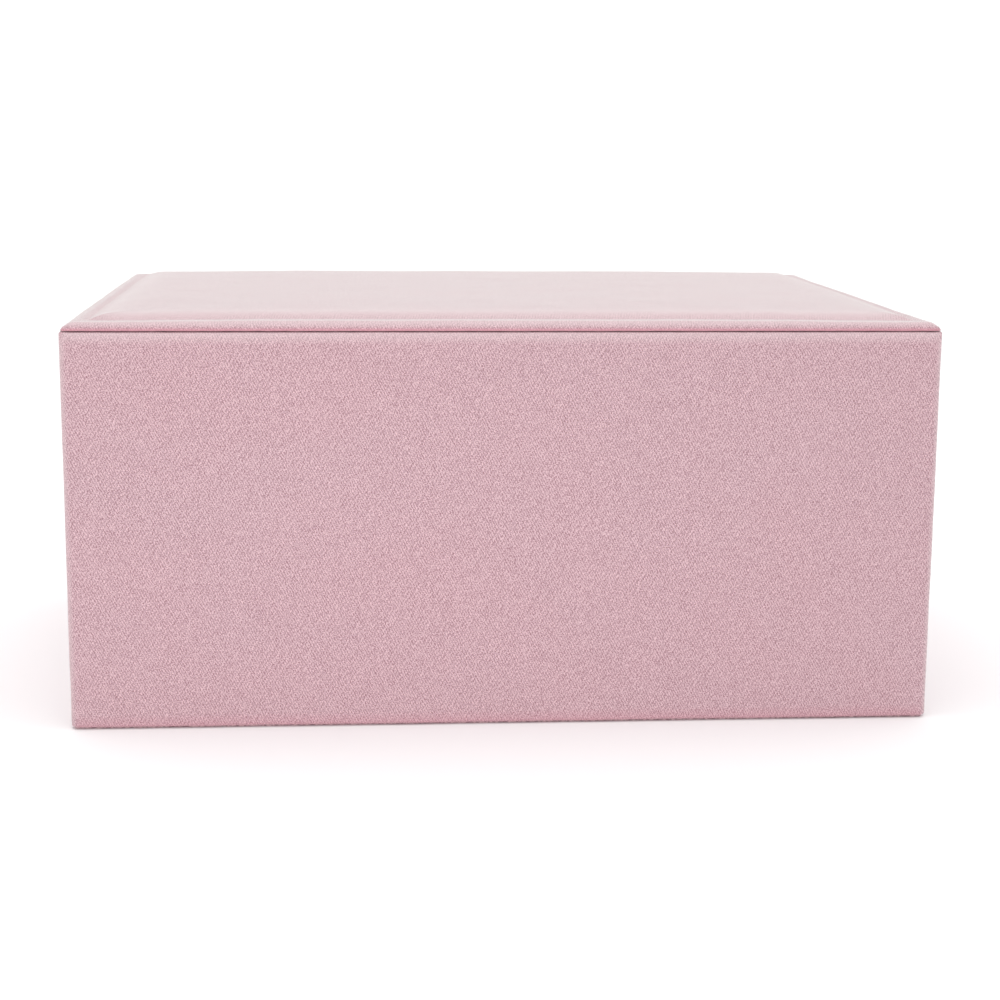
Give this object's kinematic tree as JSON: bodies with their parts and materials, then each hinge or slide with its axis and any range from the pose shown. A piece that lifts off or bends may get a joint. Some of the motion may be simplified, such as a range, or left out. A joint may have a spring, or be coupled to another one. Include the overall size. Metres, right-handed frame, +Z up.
{
  "type": "jewelry box",
  "caption": "Rectangular cloth-covered jewelry box with a hinged padded lid, a mirror inside, a sliding ring tray and open bays below.",
  "frame": {"origin": "middle of the underside, on the surface the box stands on", "axes": "+X to the right seen from the front, +Y to the hinged back, +Z up"},
  "size_m": [0.25, 0.184, 0.12],
  "materials": {
    "cover_cloth": "short-napped dusty pink plush",
    "lining_velvet": "pale blush velvet",
    "board": "bare MDF",
    "base_felt": "thin felt",
    "foam": "open-cell foam",
    "magnet": "nickel-plated disc",
    "mirror": "silvered glass",
    "ribbon": "satin ribbon"
  },
  "bodies": {
    "box": {"back_wall": "board", "base_board": "board", "base_sheet": "base_felt", "bay_divider_left": "lining_velvet", "bay_divider_right": "lining_velvet", "bay_partition": "lining_velvet", "floor_pad": "lining_velvet", "front_wall": "board", "hinge_cloth_lower": "cover_cloth", "left_wall": "board", "lining_back": "lining_velvet", "lining_front": "lining_velvet", "lining_left": "lining_velvet", "lining_right": "lining_velvet", "outer_cover": "cover_cloth", "ribbon_stay_left": "ribbon", "ribbon_stay_right": "ribbon", "right_wall": "board", "tray_rail_back": "lining_velvet", "tray_rail_front": "lining_velvet", "wall_magnets": "magnet", "watch_pillow_left": "lining_velvet", "watch_pillow_right": "lining_velvet"},
    "lid": {"lid_board": "board", "lid_foam": "foam", "lid_cover": "cover_cloth", "lid_panel": "lining_velvet", "lid_magnets": "magnet", "mirror_frame": "lining_velvet", "mirror": "mirror", "hinge_cloth_upper": "cover_cloth"},
    "tray": {"tray_back_wall": "lining_velvet", "tray_divider": "lining_velvet", "tray_floor": "lining_velvet", "tray_floor_pad": "lining_velvet", "tray_front_wall": "lining_velvet", "tray_left_end": "lining_velvet", "tray_partition": "lining_velvet", "tray_pull": "ribbon", "tray_right_end": "lining_velvet", "ring_roll_1": "lining_velvet", "ring_roll_2": "lining_velvet", "ring_roll_3": "lining_velvet", "ring_roll_4": "lining_velvet", "ring_roll_5": "lining_velvet", "ring_roll_6": "lining_velvet"}
  },
  "joints": [
    {"name": "lid_hinge", "type": "hinge", "parent": "box", "child": "lid", "pos_m": [0, 0.09175, 0.11445], "axis": [-1, 0, 0], "range_deg": [0, 97]},
    {"name": "tray_slide", "type": "slide", "parent": "box", "child": "tray", "axis": [1, 0, 0], "range_m": [0, 0.1008]}
  ]
}
